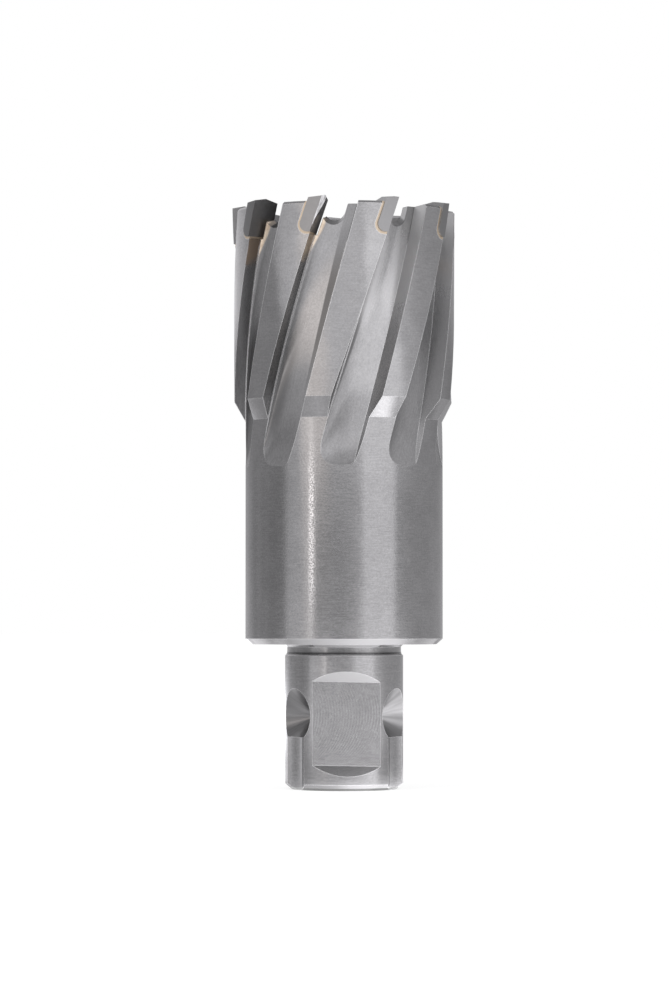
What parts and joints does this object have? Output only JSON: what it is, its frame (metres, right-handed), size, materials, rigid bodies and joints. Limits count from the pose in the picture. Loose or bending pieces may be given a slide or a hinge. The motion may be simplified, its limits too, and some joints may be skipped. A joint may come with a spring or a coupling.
{
  "type": "annular cutter",
  "caption": "Hollow right-hand core-drilling cutter: fluted steel tube with brazed carbide tips on a straight shank with clamping flats, ball pockets and a pilot bore.",
  "frame": {"origin": "centre of the shank's end face, on the cutter's axis", "axes": "+Z along the cutter's axis from the shank to the teeth, -Y towards the first clamping flat's side, +X to the right of it"},
  "size_m": [0.0361, 0.0359, 0.0942],
  "materials": {
    "body_steel": "ground and milled tool steel, satin, bare",
    "tungsten_carbide": "ground tungsten carbide, satin, darker than the steel",
    "braze_alloy": "dull silver-brass braze"
  },
  "bodies": {
    "root": {"cutter_body": "body_steel", "carbide_tip_1": "tungsten_carbide", "carbide_tip_2": "tungsten_carbide", "carbide_tip_3": "tungsten_carbide", "carbide_tip_4": "tungsten_carbide", "carbide_tip_5": "tungsten_carbide", "carbide_tip_6": "tungsten_carbide", "carbide_tip_7": "tungsten_carbide", "carbide_tip_8": "tungsten_carbide", "carbide_tip_9": "tungsten_carbide", "braze_seam_1": "braze_alloy", "braze_seam_2": "braze_alloy", "braze_seam_3": "braze_alloy", "braze_seam_4": "braze_alloy", "braze_seam_5": "braze_alloy", "braze_seam_6": "braze_alloy", "braze_seam_7": "braze_alloy", "braze_seam_8": "braze_alloy", "braze_seam_9": "braze_alloy"}
  },
  "joints": []
}
